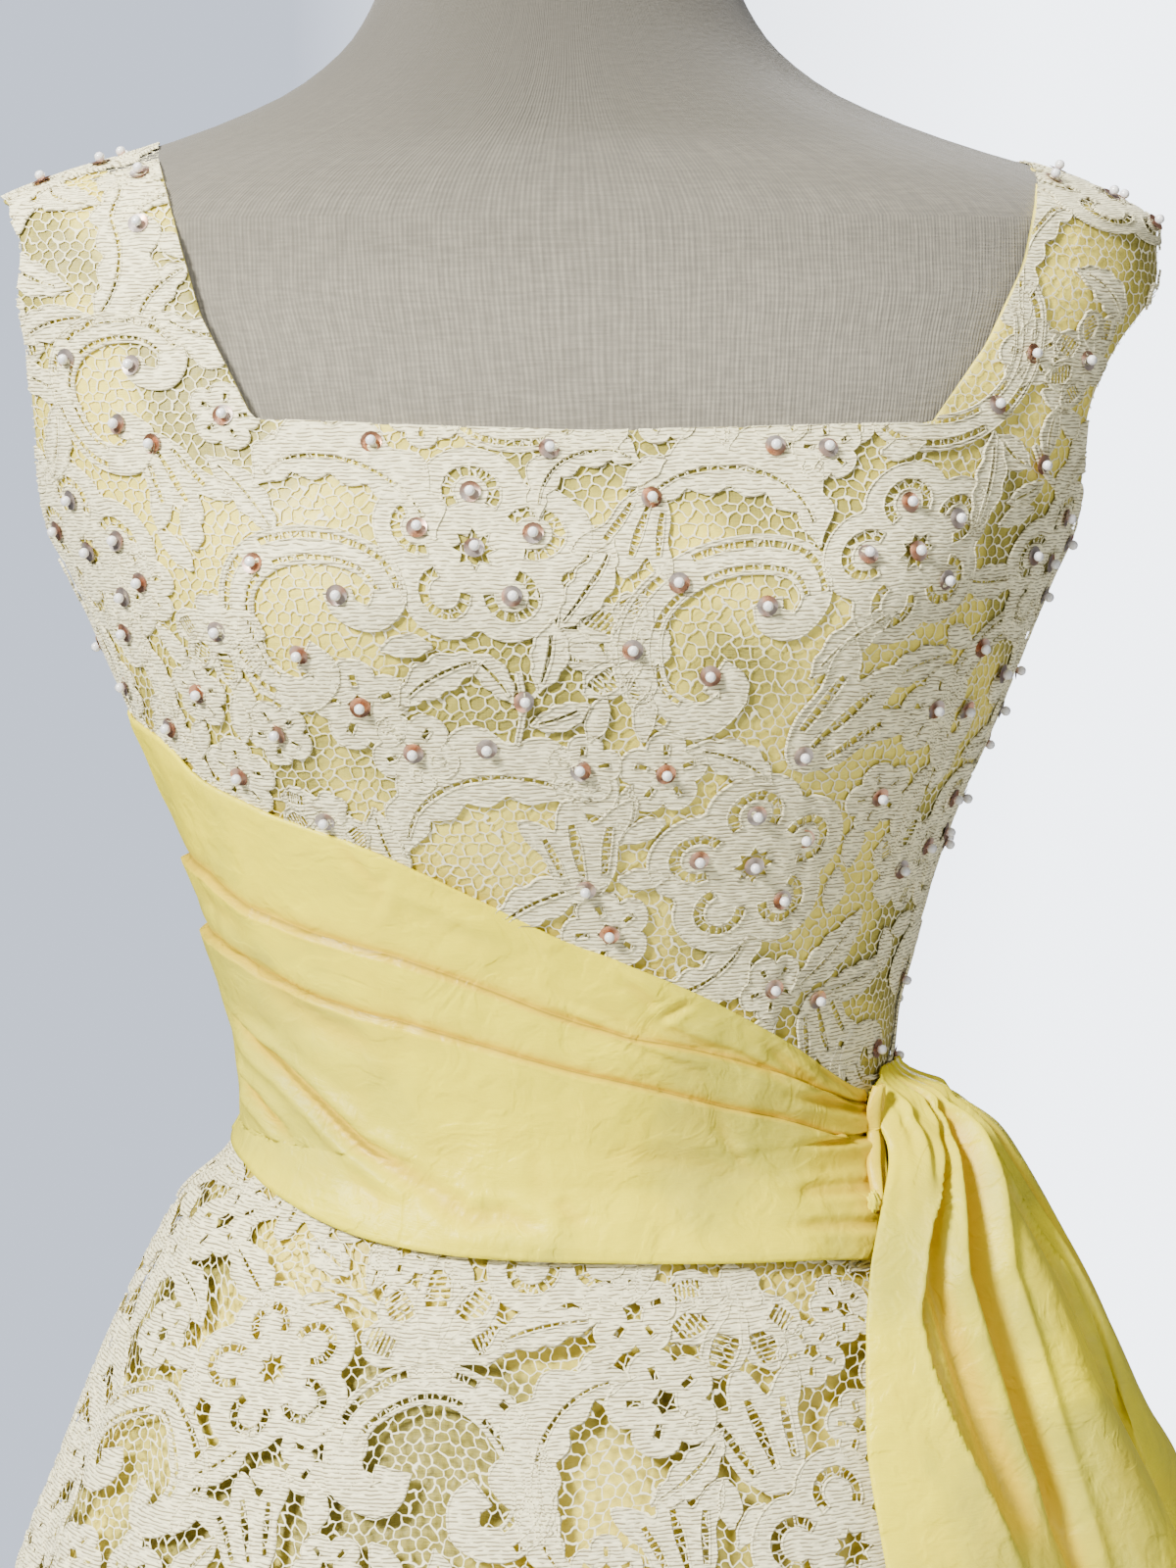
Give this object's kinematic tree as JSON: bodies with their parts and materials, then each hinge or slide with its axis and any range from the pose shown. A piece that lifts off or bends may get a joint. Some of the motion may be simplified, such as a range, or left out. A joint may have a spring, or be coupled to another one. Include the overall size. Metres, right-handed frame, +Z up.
{
  "type": "lace gown on a dress form",
  "caption": "Sleeveless floor-length satin gown with lace bodice and lace overskirt, pleated sash with a draped tail, on a limbless dress form with a round stand.",
  "frame": {"origin": "middle of the underside of the stand, on the floor", "axes": "+Z up; the gown's front faces -Y; +X is the side of the hip where the sash's tail hangs"},
  "size_m": [0.7938, 0.7693, 1.4893],
  "materials": {
    "lace_on_satin": "ivory lace mounted on yellow satin, matt thread over a soft sheen",
    "satin": "yellow satin with a soft sheen",
    "lace": "ivory lace, matt cotton thread",
    "form_cloth": "grey-beige linen jersey, matt",
    "painted_steel": "dark grey enamel, satin gloss",
    "pearl": "small silvery pearl beads",
    "sequin": "small copper-brown sequins under the beads"
  },
  "bodies": {
    "root": {"bodice_front": "lace_on_satin", "bodice_back_left": "lace_on_satin", "bodice_back_right": "lace_on_satin", "sash_front": "satin", "sash_back": "satin", "sash_tail": "satin", "skirt_satin_front": "satin", "skirt_satin_back": "satin", "skirt_lace_front": "lace", "skirt_lace_back": "lace", "form_torso": "form_cloth", "form_neck_cap": "painted_steel", "stand_pole": "painted_steel", "stand_base": "painted_steel"}
  },
  "joints": []
}
